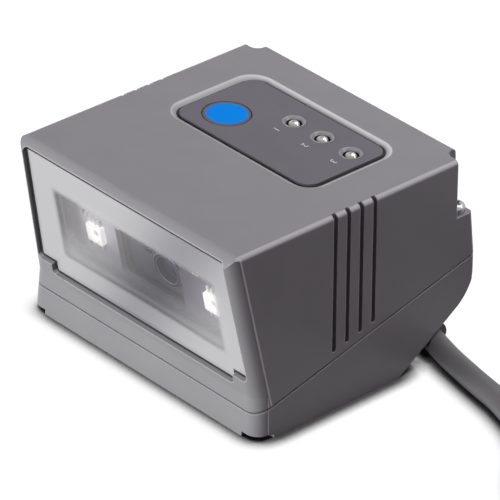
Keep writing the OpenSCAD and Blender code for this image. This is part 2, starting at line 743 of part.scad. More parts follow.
// Bores of the lens and of the aiming lens, along the optical axis
module lens_axis() at_front() translate([lens_x, 0, optic_z]) rotate([-90, 0, 0]) children();
module aimer_axis() at_front()
    translate([lens_x - aimer_x, 0, optic_z + aimer_z]) rotate([-90, 0, 0]) children();

module camera_block() color(dark) difference() {
    at_front() slab_y(camera_y, camera_back) translate([lens_x - aimer_x / 2, optic_z - camera_h / 2])
        rounded_box(camera_w, camera_h, camera_r);
    lens_axis() cylinder(d = lens_d + 2 * barrel_t, h = barrel_y + barrel_l);
    lens_axis() cylinder(d = lens_d, h = camera_back + 1);
    aimer_axis() cylinder(d = aimer_d, h = camera_y + camera_l / 2);
}

// Two cheeks and a sloping deck that hold the camera block over the main board
module camera_bracket() color("#8d9094") {
    x = lens_x - aimer_x / 2;
    z = optic_z - camera_h / 2;
    a = front_pt(camera_y + bracket_inset, z);
    b = front_pt(camera_back - bracket_inset, z);
    drop = bracket_t / cos(front_lean);
    for (s = [-1, 1]) let (m = x + s * (camera_w - bracket_t) / 2)
        slab_x(m - bracket_t / 2, m + bracket_t / 2) polygon([[a.x, main_top], [b.x, main_top], b, a]);
    slab_x(x - camera_w / 2, x + camera_w / 2) polygon([a, b, b - [0, drop], a - [0, drop]]);
}

module lens_barrel() color("#18181a") lens_axis() difference() {
    translate([0, 0, barrel_y]) cylinder(d = lens_d + 2 * barrel_t, h = barrel_l);
    translate([0, 0, barrel_y - 1]) cylinder(d = lens_d, h = barrel_l + 2);
}

// A lens with a domed front face
module front_lens() color("#5b6a86", 0.6) lens_axis() translate([0, 0, barrel_y + lens_set]) intersection() {
    cylinder(d = lens_d, h = lens_t);
    translate([0, 0, lens_d]) sphere(r = lens_d);
}

module aiming_lens() color("#d9d9dd", 0.6) aimer_axis() translate([0, 0, camera_y - aimer_out])
    cylinder(d = aimer_d, h = camera_l / 2 + aimer_out);

module sensor_board() color(board_green) at_front() slab_y(camera_back, camera_back + board_t)
    translate([lens_x - aimer_x / 2, optic_z - camera_h / 2 - sensor_margin])
        rounded_box(camera_w + 2 * sensor_margin, camera_h + 2 * sensor_margin, board_r);

module main_board() color(board_green) translate([0, front_y + main_y, boss_h]) linear_extrude(board_t)
    rounded_box(main_w, main_l, board_r);

module beeper() color(dark) translate([main_margin + beeper_d / 2 - main_w / 2,
    front_y + main_y + main_l - main_margin - beeper_d / 2, main_top]) difference() {
    cylinder(d = beeper_d, h = beeper_h);
    translate([0, 0, beeper_h - beeper_hole_h]) cylinder(d = beeper_hole_d, h = 2 * beeper_hole_h);
}

module cord_header() color("#e4e0d2") translate([main_w / 2 - main_margin - header_w,
    front_y + main_y + main_l - main_margin - header_l, main_top]) difference() {
    cube([header_w, header_l, header_h]);
    translate([header_wall, header_wall, 2 * header_wall])
        cube([header_w - 2 * header_wall, header_l - 2 * header_wall, header_h]);
}

module cover_screws() color("#d6d7d9") at_ear_screws(ear_z) {
    r = screw_head_d / 2;
    rotate_extrude() rounded([[0, 0], [r, 0], [r, screw_head_h], [0, screw_head_h]], [0, 0, screw_head_r, 0]);
    translate([0, 0, -screw_l]) cylinder(d = screw_d, h = screw_l + eps);
}

module base_screws() color("#6d6e72") at_base_screws(base_screw_seat) {
    translate([0, 0, -base_head_h]) cylinder(d = base_head_d, h = base_head_h);
    cylinder(d = base_screw_d, h = base_screw_l);
}

module mounting_inserts() color("#b8954a") for (p = mount_at) translate([p.x, p.y, 0]) difference() {
    cylinder(d = insert_d, h = insert_l);
    translate([0, 0, -1]) cylinder(d = insert_bore, h = insert_l + 2);
}

// A right-angle sleeve: an arm with an end collar, an elbow, and a neck with a flange inside the base
module strain_relief() color(dark) {
    neck = boot_root_d / 2 + boot_gap + wall;
    r = boot_d / 2 - boot_collar_h;
    along_boot() rotate_extrude() polygon([
        [0, 0], [boot_root_d / 2, 0], [r, boot_taper_l], [r, boot_l - boot_collar_l - boot_collar_h],
        [boot_d / 2, boot_l - boot_collar_l], [boot_d / 2, boot_l], [0, boot_l]]);
    translate(boot_start) sphere(d = boot_root_d);
    into_base() {
        cylinder(d = boot_neck_d, h = neck + eps);
        translate([0, 0, neck]) cylinder(d = boot_root_d, h = boot_flange_t);
    }
}

// A tube of n sides along the points, square to start at its first point and closed at both ends
function tangent(pts, i) = unit(pts[min(i + 1, len(pts) - 1)] - pts[max(i - 1, 0)]);
function ring(p, t, r, n) =
    let (u = unit(cross([0, 0, 1], t)), v = cross(t, u))
    [for (k = [0:n - 1]) p + r * (cos(360 * k / n) * u + sin(360 * k / n) * v)];
module tube(pts, d, start, n = 10) {
    m = len(pts);
    along = [start, for (i = [1:m - 1]) tangent(pts, i)];
    polyhedron(
        [for (i = [0:m - 1]) each ring(pts[i], along[i], d / 2, n)],
        [[for (k = [0:n - 1]) k], [for (k = [n - 1:-1:0]) (m - 1) * n + k],
            for (i = [0:m - 2], k = [0:n - 1]) let (j = (k + 1) % n)
                [i * n + k, (i + 1) * n + k, (i + 1) * n + j, i * n + j]]);
}

module cord_lead() color(cord_colour) tube(lead_pts, cord_d, boot_dir);
module cord_tail() color(cord_colour) tube(tail_pts, cord_d, [-1, 0, 0]);

module cord_coil() color(cord_colour) translate(coil_at) rotate_extrude()
    translate([coil_d / 2, 0]) rounded_box(coil_cols * cord_d, coil_h, cord_d / 2);

module cord_tie() color(dark) translate(coil_at) rotate([0, 0, tie_angle])
    slab_y(-tie_w / 2, tie_w / 2) translate([coil_d / 2, 0]) difference() {
        rounded_box(coil_cols * cord_d + 2 * tie_t, coil_h + tie_t, cord_d / 2);
        translate([0, tie_t / 2]) rounded_box(coil_cols * cord_d, coil_h - tie_t / 2, cord_d / 2);
    }

module plug_grip() color(dark) difference() {
    translate([plug_at.x - plug_l, plug_at.y, 0]) slab_x(0, plug_l) rounded_box(plug_w, plug_h, plug_r);
    at_plug_mouth() slab_x(0, shell_l + shell_in) rounded_box(shell_w, shell_h, shell_r);
}

// The mouth of the plug, open towards -X
module at_plug_mouth() translate(plug_at - [plug_l + shell_l, 0, shell_h / 2]) children();

module plug_shell() color("#c9cacc") at_plug_mouth() difference() {
    slab_x(0, shell_l + shell_in) rounded_box(shell_w, shell_h, shell_r);
    translate([0, 0, shell_t]) slab_x(-1, shell_l + shell_in - shell_t)
        rounded_box(shell_w - 2 * shell_t, shell_h - 2 * shell_t, shell_r - shell_t / 2);
}

module plug_tongue() color("#efeeea") at_plug_mouth() translate([0, 0, shell_t])
    slab_x(tongue_gap, shell_l + shell_in - shell_t)
        rounded_box(shell_w - 2 * shell_t - 2 * tongue_gap, tongue_t, shell_r);

top_cover();
base_cover();
joint_seal();
window();
window_seal();
light_hood();
label_overlay();
trigger_key();
key_switch();
trigger_lamp();
good_read_lamp();
power_lamp();
indicator_board();
illumination_board();
illumination_led_left();
illumination_led_right();
camera_block();
camera_bracket();
lens_barrel();
front_lens();
aiming_lens();
sensor_board();
main_board();
beeper();
cord_header();
cover_screws();
base_screws();
mounting_inserts();
strain_relief();
cord_lead();
cord_coil();
cord_tail();
cord_tie();
plug_grip();
plug_shell();
plug_tongue();
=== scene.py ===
"""Looks of a fixed barcode reader: a grey moulded housing with a leaning window, a label with a blue
key and lamps on top, and a captive data cord. Lengths are in metres, in the frame of the solids."""
import math

import bpy
import numpy as np
from mathutils import Matrix, Vector


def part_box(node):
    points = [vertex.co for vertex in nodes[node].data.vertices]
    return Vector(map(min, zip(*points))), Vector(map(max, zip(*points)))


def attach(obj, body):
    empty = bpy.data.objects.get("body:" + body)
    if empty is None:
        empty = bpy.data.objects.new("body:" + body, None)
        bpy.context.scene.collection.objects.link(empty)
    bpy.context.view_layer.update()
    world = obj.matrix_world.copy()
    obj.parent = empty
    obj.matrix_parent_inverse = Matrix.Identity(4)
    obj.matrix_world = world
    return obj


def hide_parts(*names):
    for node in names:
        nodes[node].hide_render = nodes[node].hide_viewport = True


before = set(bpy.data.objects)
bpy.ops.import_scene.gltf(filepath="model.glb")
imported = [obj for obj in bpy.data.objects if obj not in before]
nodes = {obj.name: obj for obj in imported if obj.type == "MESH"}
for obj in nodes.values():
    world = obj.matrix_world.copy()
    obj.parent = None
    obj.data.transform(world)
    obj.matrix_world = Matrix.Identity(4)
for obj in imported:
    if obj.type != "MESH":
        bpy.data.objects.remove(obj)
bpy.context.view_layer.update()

# Camera
# A long lens that looks from the front right and above, as a catalogue picture is taken.
# The picture is square, and the camera leans a little to one side.
MM = 0.001
AZIMUTH, ELEVATION, ROLL = (math.radians(angle) for angle in (44.959, 30.955, 3.183))
AIM = Vector((3.70, -1.254, 22.0)) * MM
DISTANCE = 1008.7 * MM
FOCAL_MM, SENSOR_MM = 346.05, 36

right = Vector((math.cos(AZIMUTH), math.sin(AZIMUTH), 0))
back = Vector((math.sin(AZIMUTH) * math.cos(ELEVATION), -math.cos(AZIMUTH) * math.cos(ELEVATION),
               math.sin(ELEVATION)))
turn = Matrix((right, back.cross(right), back)).transposed() @ Matrix.Rotation(ROLL, 3, "Z")
camera = bpy.data.objects.new("camera", bpy.data.cameras.new("camera"))
camera.data.lens = FOCAL_MM
camera.data.sensor_width = SENSOR_MM
camera.matrix_world = Matrix.Translation(AIM + back * DISTANCE) @ turn.to_4x4()
bpy.context.collection.objects.link(camera)
bpy.context.scene.camera = camera
bpy.context.scene.view_settings.view_transform = "Standard"

# Cord
# A round data cable with a smooth grey PVC jacket, moulded into the sleeve at the housing.
# The length that isn't in use is wound flat in two layers and held by a tie.
CORD_D = 5.2 * MM
# The route is measured in millimetres from where the right side meets the slant of the base
CORD_CORNER = np.array([35.3, 13.635, 0])
lead = (CORD_CORNER + [
    [-2.7, 11.7, 4], [0.7, 11, 3.4], [5, 10.1, 2.9], [10, 9.1, 2.7], [16, 7.8, 2.7], [22, 6.6, 2.7],
    [26, 5.3, 2.7], [30, 3.8, 2.7], [34, 1.6, 2.7], [37.3, -0.7, 2.7], [40.5, -3.7, 2.7]]) * MM
tail = (CORD_CORNER + [
    [66.7, 55.8, 7.8], [60.7, 55.8, 7.8], [54.7, 55.5, 7.6], [48.7, 54.5, 6.6], [42.7, 52.9, 5.4],
    [38.7, 51.4, 4.5], [34.7, 50.4, 4.2], [30.7, 50.4, 4.2]]) * MM

COIL_AT = (CORD_CORNER + [72.7, 17.4, 0]) * MM
COIL_R = 38.4 * MM
COIL_COLS = 5
COIL_TURNS = 9 + 230 / 360
COIL_START = 220 / 360
POINTS_PER_TURN = 24
STEP_FROM, CLIMB_FROM = 0.8, 0.5
OFF_TABLE = 0.1 * MM


def smooth(t):
    """0 below 0, 1 above 1, and the S-curve t^2 (3 - 2 t) between them."""
    t = np.clip(t, 0, 1)
    return t * t * (3 - 2 * t)


def coil():
    """Points of the wound cord. Each turn keeps its radius and steps to the next over its last fifth; the
    lower layer goes inwards, the cord climbs at the inside, and the upper layer goes outwards."""
    turns = np.linspace(0, COIL_TURNS, round(COIL_TURNS * POINTS_PER_TURN) + 1)
    whole, part = np.divmod(turns, 1)
    step = smooth((part - STEP_FROM) / (1 - STEP_FROM))
    lower = whole < COIL_COLS
    climb = np.where(whole == COIL_COLS - 1, smooth((part - CLIMB_FROM) / (1 - CLIMB_FROM)), ~lower)
    inward = np.minimum(whole + step, COIL_COLS - 1)
    outward = np.maximum(2 * COIL_COLS - 1 - whole - step, 0)
    radius = COIL_R - CORD_D * np.where(lower, inward, outward)
    angle = 2 * np.pi * (COIL_START + turns)
    height = CORD_D * (0.5 + climb) + OFF_TABLE * (1 - climb)
    return np.stack([COIL_AT[0] + radius * np.cos(angle), COIL_AT[1] + radius * np.sin(angle), height],
                    axis=1)


route = np.concatenate([lead, coil(), tail])
line = bpy.data.curves.new("cord", "CURVE")
line.dimensions = "3D"
line.bevel_depth = CORD_D / 2
line.bevel_resolution = 6
line.resolution_u = 3
line.use_fill_caps = True
spline = line.splines.new("BEZIER")
spline.bezier_points.add(len(route) - 1)
spline.bezier_points.foreach_set("co", route.ravel())
for point in spline.bezier_points:
    point.handle_left_type = point.handle_right_type = "AUTO"
cord = bpy.data.objects.new("cord", line)
bpy.context.collection.objects.link(cord)


def linear(hex_colour):
    """An sRGB colour such as 7d7d7f as linear RGBA."""
    channels = np.array([int(hex_colour[i:i + 2], 16) for i in (0, 2, 4)]) / 255
    low = channels / 12.92
    high = ((channels + 0.055) / 1.055) ** 2.4
    return (*np.where(channels <= 0.04045, low, high), 1.0)


def shade(hex_colour, share):
    """The linear colour, lighter or darker by a share."""
    return (*(share * c for c in linear(hex_colour)[:3]), 1)


def add(tree, kind, links=None, sockets=None, stops=(), **settings):
    """One node with its settings, its socket values, the outputs that feed its sockets and, on a colour
    ramp, its stops as (position, colour)."""
    node = tree.nodes.new(kind)
    for name, value in settings.items():
        setattr(node, name, value)
    for name, value in (sockets or {}).items():
        node.inputs[name].default_value = value
    for name, output in (links or {}).items():
        tree.links.new(output, node.inputs[name])
    for i, (position, colour) in enumerate(stops):
        elements = node.color_ramp.elements
        stop = elements[i] if i < 2 else elements.new(position)
        stop.position, stop.color = position, colour
    return node


def new_material(name):
    """An empty node material and its tree."""
    material = bpy.data.materials.new(name)
    material.use_nodes = True
    material.node_tree.nodes.clear()
    return material, material.node_tree


def grain(tree, width_mm, relief_mm):
    """Fine noise as a bump: grains of that width and height. Real ones are several times finer, and are
    drawn this coarse so that they show."""
    where = add(tree, "ShaderNodeTexCoord").outputs["Object"]
    noise = add(tree, "ShaderNodeTexNoise", {"Vector": where}, {"Scale": 1 / (width_mm * MM), "Detail": 2.0})
    return add(tree, "ShaderNodeBump", {"Height": noise.outputs["Fac"]},
               {"Strength": 1.0, "Distance": relief_mm * MM})


CLOUD_MM = 9
# The two colours that go into a Mix node, and the one that comes out
MIX_A, MIX_B, MIXED = 6, 7, 2


def moulded(name, hex_colour, roughness, grain_mm, relief_mm, mottle=0.04, edge_mm=0.0, edge_lift=1.0,
            **sockets):
    """A moulded or cast finish: the grains of the tool's surface as bump, a faint mottle of the colour over
    some millimetres, and edges that are broken by edge_mm, with a painted highlight that makes them edge_lift
    times as bright where the broken edge's normal turns away from the face's."""
    material, tree = new_material(name)
    where = add(tree, "ShaderNodeTexCoord").outputs["Object"]
    cloud = add(tree, "ShaderNodeTexNoise", {"Vector": where}, {"Scale": 1 / (CLOUD_MM * MM), "Detail": 3.0})
    mottled = add(tree, "ShaderNodeValToRGB", {"Fac": cloud.outputs["Fac"]},
                  stops=((0.35, shade(hex_colour, 1 - mottle)), (0.65, shade(hex_colour, 1 + mottle))))
    colour = mottled.outputs["Color"]
    bump = grain(tree, grain_mm, relief_mm)
    if edge_mm:
        edge = add(tree, "ShaderNodeBevel", None, {"Radius": edge_mm * MM}, samples=6).outputs["Normal"]
        tree.links.new(edge, bump.inputs["Normal"])
        face = add(tree, "ShaderNodeNewGeometry").outputs["Normal"]
        bend = add(tree, "ShaderNodeVectorMath", {0: edge, 1: face}, operation="DOT_PRODUCT")
        # Painted highlight: the broken edges are drawn paler
        painted_edge_mask = add(tree, "ShaderNodeMapRange", {"Value": bend.outputs["Value"]},
                   {"From Min": 0.99, "From Max": 0.8, "To Max": 1.0})
        colour = add(tree, "ShaderNodeMix", {"Factor": painted_edge_mask.outputs["Result"], MIX_A: colour},
                     {MIX_B: shade(hex_colour, edge_lift)}, data_type="RGBA").outputs[MIXED]
    shader = add(tree, "ShaderNodeBsdfPrincipled", {"Base Color": colour, "Normal": bump.outputs["Normal"]},
                 {"Roughness": roughness, **sockets})
    add(tree, "ShaderNodeOutputMaterial", {"Surface": shader.outputs["BSDF"]})
    return material


# Extruded PVC: an even satin skin with a faint waviness from the extruder
line.materials.append(moulded("pvc_jacket", "575658", roughness=0.48, grain_mm=1.6, relief_mm=0.02))
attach(cord, "housing")
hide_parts("cord_lead", "cord_coil", "cord_tail")


# Plug and cord ends
# The tie is a nylon strap, the plug's grip is moulded over the cord, and its shell is folded
# from nickel-plated sheet. A rubber sleeve holds the cord in the housing.
def dress(material, *names):
    """Puts the material on the named solids."""
    for name in names:
        slots = nodes[name].data.materials
        slots.clear()
        slots.append(material)


def plated(name, hex_colour, roughness, scratch_mm, stretch=(1, 1, 1), relief_mm=0.002):
    """A bright metal: colour, roughness and bump that wander with the marks of drawing or turning, noise
    scaled by the stretch. Real marks are finer, and are drawn this coarse so that they show."""
    material, tree = new_material(name)
    where = add(tree, "ShaderNodeTexCoord").outputs["Object"]
    drawn = add(tree, "ShaderNodeMapping", {"Vector": where}, {"Scale": stretch})
    marks = add(tree, "ShaderNodeTexNoise", {"Vector": drawn.outputs["Vector"]},
                {"Scale": 1 / (scratch_mm * MM), "Detail": 4.0})
    gloss = add(tree, "ShaderNodeMapRange", {"Value": marks.outputs["Fac"]},
                {"To Min": 0.7 * roughness, "To Max": 1.3 * roughness})
    colour = add(tree, "ShaderNodeValToRGB", {"Fac": marks.outputs["Fac"]},
                 stops=((0.3, shade(hex_colour, 0.9)), (0.7, shade(hex_colour, 1.05))))
    bump = add(tree, "ShaderNodeBump", {"Height": marks.outputs["Fac"]},
               {"Strength": 1.0, "Distance": relief_mm * MM})
    shader = add(tree, "ShaderNodeBsdfPrincipled",
                 {"Base Color": colour.outputs["Color"], "Roughness": gloss.outputs["Result"],
                  "Normal": bump.outputs["Normal"]}, {"Metallic": 1.0})
    add(tree, "ShaderNodeOutputMaterial", {"Surface": shader.outputs["BSDF"]})
    return material


# Moulded ABS, eroded in the tool: near black, with a soft sheen
black_abs = moulded("black_abs", "2e2d31", roughness=0.5, grain_mm=0.3, relief_mm=0.01, edge_mm=0.2)
# Moulded rubber: dull black
rubber = moulded("black_rubber", "201e1f", roughness=0.6, grain_mm=0.35, relief_mm=0.012, edge_mm=0.3)
# Nickel plate: a soft mirror with marks along the shell
nickel = plated("nickel_plate", "c9c9cc", roughness=0.24, scratch_mm=0.4, stretch=(1, 8, 8))
# Natural nylon: ivory and a little waxy
nylon = moulded("ivory_nylon", "e4e0d2", roughness=0.45, grain_mm=0.4, relief_mm=0.006, edge_mm=0.1)
dress(black_abs, "cord_tie", "plug_grip")
dress(rubber, "strain_relief")
dress(nickel, "plug_shell")
dress(nylon, "plug_tongue")

# Base
# The lower half of the housing, moulded in grey ABS, with brass inserts pressed into its foot
# and two screws from below. A thin silicone cord seals the sloping joint.
# Spark-eroded ABS looks matt, with soft broad highlights, and a thin painted highlight along its edges
GREY_ABS = {"hex_colour": "868688", "roughness": 0.38, "grain_mm": 0.3, "relief_mm": 0.011, "mottle": 0.02,
            "edge_mm": 0.3, "edge_lift": 2.1, "Specular IOR Level": 0.15}
dress(moulded("grey_abs", **GREY_ABS), "base_cover")
# Silicone: dull, and all but black in the joint
dress(moulded("black_silicone", "0d0c0d", roughness=0.8, grain_mm=0.3, relief_mm=0.01), "joint_seal")
# Turned brass: warm, with fine rings round the insert
dress(plated("turned_brass", "b8954a", roughness=0.28, scratch_mm=0.3, stretch=(1, 1, 6)), "mounting_inserts")
# Zinc plate on steel: a cool bright grey
ZINC = {"hex_colour": "a3a4a8", "roughness": 0.3, "scratch_mm": 0.3}
dress(plated("zinc_plate", **ZINC), "base_screws")

# Boards and camera
# Glass-fibre boards under green solder mask, a moulded block on a die-cast bracket that holds the
# lenses, a black anodised barrel and the cord's nylon header.
# Green solder mask: smooth and glossy, mottled by the copper below
dress(moulded("green_solder_mask", "2f5d46", roughness=0.35, grain_mm=0.9, relief_mm=0.004, mottle=0.12),
      "main_board", "sensor_board", "indicator_board")
# Die-cast aluminium: a grey metal skin, dimpled by the die
dress(moulded("die_cast_aluminium", "8d9094", roughness=0.4, grain_mm=0.5, relief_mm=0.01, edge_mm=0.2,
              Metallic=1.0), "camera_bracket")
# Black anodised aluminium: satin black, with a rim where its edge was turned off, drawn bright as a painted
# highlight
dress(moulded("black_anodised_aluminium", "202023", roughness=0.3, grain_mm=0.2, relief_mm=0.004,
              edge_mm=0.35, edge_lift=40), "lens_barrel")
# Filled polyamide: a satin grey, with painted highlights on its edges
dress(moulded("satin_grey_polyamide", "57545d", roughness=0.6, grain_mm=0.4, relief_mm=0.01, edge_mm=0.3,
              edge_lift=3), "camera_block")
dress(black_abs, "beeper", "key_switch")
dress(nylon, "cord_header")

# Coated glass: near black, with a violet to green bloom that turns with the angle
coated, tree = new_material("coated_glass")
facing = add(tree, "ShaderNodeLayerWeight", None, {"Blend": 0.4}).outputs["Facing"]
bloom = add(tree, "ShaderNodeValToRGB", {"Fac": facing},
            stops=((0.1, linear("241c3c")), (0.5, linear("33304a")), (0.9, linear("2c4038"))))
shader = add(tree, "ShaderNodeBsdfPrincipled", {"Base Color": bloom.outputs["Color"]},
             {"Roughness": 0.04, "Coat Weight": 0.6, "Coat Roughness": 0.02})
add(tree, "ShaderNodeOutputMaterial", {"Surface": shader.outputs["BSDF"]})
dress(coated, "front_lens", "aiming_lens")

# Illumination
# A pale board behind the window with two white square LED packages, their bent leads and a few
# chip parts, all soldered on, and a moulded hood round the opening.
LEAN = math.radians(13.7)
FRONT_Y, CHIN_H = -27.665 * MM, 10 * MM
# Places on the leaning front are in millimetres: across, behind it, and up from the chin
BOARD_Y = 6.5
LED_X, LED_Z, LED_W = 18, 14, 4.6
MOUTH_X, MOUTH_Z = 2, 10


def at_front(points):
    """Places on the leaning front in the part's frame: turned by the lean and set on the chin."""
    x, y, z = np.moveaxis(np.asarray(points, float) * MM, -1, 0)
    return np.stack([x, FRONT_Y + y * math.cos(LEAN) - z * math.sin(LEAN),
                     CHIN_H + y * math.sin(LEAN) + z * math.cos(LEAN)], axis=-1)


def front_place(tree, middle=0.0):
    """The outputs X, Y and Z of a place on the leaning front: across from the middle, behind and up."""
    where = add(tree, "ShaderNodeTexCoord").outputs["Object"]
    level = add(tree, "ShaderNodeMapping", {"Vector": where},
                {"Location": (middle, FRONT_Y, CHIN_H), "Rotation": (LEAN, 0, 0)}, vector_type="TEXTURE")
    return add(tree, "ShaderNodeSeparateXYZ", {"Vector": level.outputs["Vector"]}).outputs


def apart(tree, value, centre=0.0):
    """The distance |value - centre|."""
    offset = add(tree, "ShaderNodeMath", {0: value}, {1: centre}, operation="SUBTRACT")
    return add(tree, "ShaderNodeMath", {0: offset.outputs[0]}, operation="ABSOLUTE").outputs[0]


MOUTH = at_front((MOUTH_X, 0, MOUTH_Z))
MOUTH_SLANT = 0.72
MOUTH_REACH = 24 * MM
across_mouth = np.array([1, MOUTH_SLANT * math.sin(LEAN), -MOUTH_SLANT * math.cos(LEAN)])


def mouth(tree):
    """Where shade is painted round the camera's mouth: 1 along the middle of a band that slants up the front,
    falling to 0 at its reach: an S-curve of the distance |(p - MOUTH) . across_mouth|."""
    where = add(tree, "ShaderNodeTexCoord").outputs["Object"]
    offset = add(tree, "ShaderNodeVectorMath", {0: where}, {1: MOUTH}, operation="SUBTRACT")
    along = add(tree, "ShaderNodeVectorMath", {0: offset.outputs["Vector"]}, {1: across_mouth},
                operation="DOT_PRODUCT")
    return add(tree, "ShaderNodeMapRange", {"Value": apart(tree, along.outputs["Value"])},
               {"From Max": MOUTH_REACH, "To Min": 1.0, "To Max": 0.0},
               interpolation_type="SMOOTHSTEP").outputs["Result"]


def toned(name, roughness, grain_mm, relief_mm, stops):
    """A smooth finish inside the front, with painted shade that takes it from pale at the sides to dark in
    the camera's mouth.
    """
    material, tree = new_material(name)
    tone = add(tree, "ShaderNodeValToRGB", {"Fac": mouth(tree)}, stops=stops)
    shader = add(tree, "ShaderNodeBsdfPrincipled",
                 {"Base Color": tone.outputs["Color"],
                  "Normal": grain(tree, grain_mm, relief_mm).outputs["Normal"]}, {"Roughness": roughness})
    add(tree, "ShaderNodeOutputMaterial", {"Surface": shader.outputs["BSDF"]})
    return material


# White solder mask on the board and satin white plastic on the hood: pale, with painted shade that turns them
# grey round the camera
INSIDE = ((0.0, linear("dad7df")), (0.5, linear("96939d")), (1.0, linear("55525b")))
dress(toned("white_solder_mask", roughness=0.5, grain_mm=0.8, relief_mm=0.006, stops=INSIDE),
      "illumination_board")
dress(toned("satin_white_plastic", roughness=0.5, grain_mm=0.4, relief_mm=0.006, stops=INSIDE), "light_hood")

# White package plastic with a duller die in its well. The whole package glows faintly, painted light
# that shows it through the hazy window
DIE_R, WELL_R = 0.3 * MM, 1.9 * MM
PACKAGE_PAINTED_GLOW = 0.7
package, tree = new_material("white_package")
place = front_place(tree)
from_led = add(tree, "ShaderNodeCombineXYZ", {"X": apart(tree, apart(tree, place["X"]), LED_X * MM),
                                              "Y": apart(tree, place["Z"], LED_Z * MM)})
reach = add(tree, "ShaderNodeVectorMath", {0: from_led.outputs["Vector"]}, operation="LENGTH")
well = add(tree, "ShaderNodeMapRange", {"Value": reach.outputs["Value"]},
           {"From Min": DIE_R, "From Max": WELL_R}, interpolation_type="SMOOTHSTEP")
white = add(tree, "ShaderNodeValToRGB", {"Fac": well.outputs["Result"]},
            stops=((0.0, linear("c2bfb5")), (0.2, linear("ece9e0")), (1.0, linear("fdfcfa"))))
shader = add(tree, "ShaderNodeBsdfPrincipled",
             {"Base Color": white.outputs["Color"], "Emission Color": white.outputs["Color"]},
             {"Roughness": 0.35, "Emission Strength": PACKAGE_PAINTED_GLOW})
add(tree, "ShaderNodeOutputMaterial", {"Surface": shader.outputs["BSDF"]})
dress(package, "illumination_led_left", "illumination_led_right")


def wrapped(rows, cols, close_rows):
    """Quads of a grid whose columns join up, and its rows too if close_rows."""
    r, c = np.meshgrid(np.arange(rows if close_rows else rows - 1), np.arange(cols), indexing="ij")
    r1, c1 = (r + 1) % rows, (c + 1) % cols
    return np.stack([r * cols + c, r * cols + c1, r1 * cols + c1, r1 * cols + c], axis=-1).reshape(-1, 4)


BLOCK_ROWS, BLOCK_COLS = 8, 16
BLOCK_SQUARENESS = 0.25
# How far towards its poles a block's grid runs, as a share of half a turn
BLOCK_LATITUDE = 0.46


def squared(t):
    """t to the power of the squareness, with its sign."""
    return np.sign(t) * np.abs(t) ** BLOCK_SQUARENESS


def blocks(centres, halves):
    """Rounded blocks: superellipsoids c + h * (cos v cos u, sin v, cos v sin u), each factor to the power of
    the squareness, as one list of vertices and one of faces. The small end caps are flat."""
    v = np.linspace(-BLOCK_LATITUDE, BLOCK_LATITUDE, BLOCK_ROWS)[:, None] * np.pi
    u = np.arange(BLOCK_COLS) / BLOCK_COLS * 2 * np.pi
    unit = np.stack([squared(np.cos(v)) * squared(np.cos(u)), squared(np.sin(v)) + 0 * u,
                     squared(np.cos(v)) * squared(np.sin(u))], axis=-1).reshape(-1, 3)
    vertices = np.asarray(centres, float)[:, None] + np.asarray(halves, float) * unit
    starts = np.arange(len(vertices))[:, None, None] * len(unit)
    sides = starts + wrapped(BLOCK_ROWS, BLOCK_COLS, False)[:, ::-1]
    low = np.arange(BLOCK_COLS)
    caps = starts + np.stack([low, len(unit) - 1 - low])
    return (vertices.reshape(-1, 3),
            sides.reshape(-1, 4).tolist() + caps.reshape(-1, BLOCK_COLS).tolist())


def new_mesh(name, vertices, faces):
    """A mesh of these vertices and faces."""
    mesh = bpy.data.meshes.new(name)
    mesh.from_pydata(vertices, [], faces)
    return mesh


def on_housing(name, mesh, material):
    """A new piece of the housing, with its place in its mesh."""
    mesh.materials.clear()
    mesh.materials.append(material)
    piece = bpy.data.objects.new(name, mesh)
    bpy.context.collection.objects.link(piece)
    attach(piece, "housing")


def soldered(name, centres, halves, material):
    """Rounded blocks on the leaning board as one piece."""
    vertices, faces = blocks(centres, halves)
    on_housing(name, new_mesh(name, at_front(vertices), faces), material)


# Tinned copper, drawn white and bright in place of the tin's reflections: painted shine
tinned = moulded("tinned_copper", "fdfcfa", roughness=0.25, grain_mm=0.3, relief_mm=0.004, Metallic=0.1)
LEAD_HALF = (0.36, 0.35, 0.9)
LEAD_PITCH, LEAD_OUT = 1.3, 0.8
lead_x = [side * LED_X + i * LEAD_PITCH for side in (-1, 1) for i in (-1, 0, 1)]
lead_z = [LED_Z + end * (LED_W / 2 + LEAD_OUT) for end in (-1, 1)]
soldered("led_leads", [(x, BOARD_Y - LEAD_HALF[1], z) for z in lead_z for x in lead_x], LEAD_HALF, tinned)
# Fired ceramic: a matt mid-grey
ceramic = moulded("chip_ceramic", "8d8a90", roughness=0.4, grain_mm=0.2, relief_mm=0.003)
CHIPS = [(-21.5, 17.8), (-20.4, 10.2), (-11, 19.2), (13.2, 19.4), (22.4, 18.6), (23.2, 11)]
CHIP_HALF, CHIP_END_HALF, CHIP_END_X = (0.55, 0.25, 0.4), (0.2, 0.26, 0.42), 0.65
soldered("chip_bodies", [(x, BOARD_Y - CHIP_HALF[1], z) for x, z in CHIPS], CHIP_HALF, ceramic)
soldered("chip_ends", [(x + side * CHIP_END_X, BOARD_Y - CHIP_END_HALF[1], z) for x, z in CHIPS
                       for side in (-1, 1)], CHIP_END_HALF, tinned)

# Window
# A clear acrylic plate, bonded into the recess on a dark rubber seal. A pale print on its back frames
# the opening and fades out at its edge.
# The acrylic is glossy and hazy: most at the bottom of the opening, and least in front of the camera
OPENING_X, OPENING_Z = 0.8 * MM, 17.4 * MM
OPENING_HALF_X, OPENING_HALF_Z = 24.6 * MM, 9.2 * MM
OPENING_CORNER = 2 * MM
FADE_FROM, FADE_TO, PRINT_COVER = -1.8 * MM, 0.8 * MM, 0.94
HAZE_LOW_Z, HAZE_HIGH_Z, HAZE_LOW, HAZE_HIGH = 9 * MM, 19 * MM, 0.6, 0.28
HAZE_AT_MOUTH = 0.5
window, tree = new_material("printed_acrylic")
place = front_place(tree, OPENING_X)
past_x = add(tree, "ShaderNodeMath", {0: apart(tree, place["X"])}, {1: OPENING_HALF_X}, operation="SUBTRACT")
past_z = add(tree, "ShaderNodeMath", {0: apart(tree, place["Z"], OPENING_Z)}, {1: OPENING_HALF_Z},
             operation="SUBTRACT")
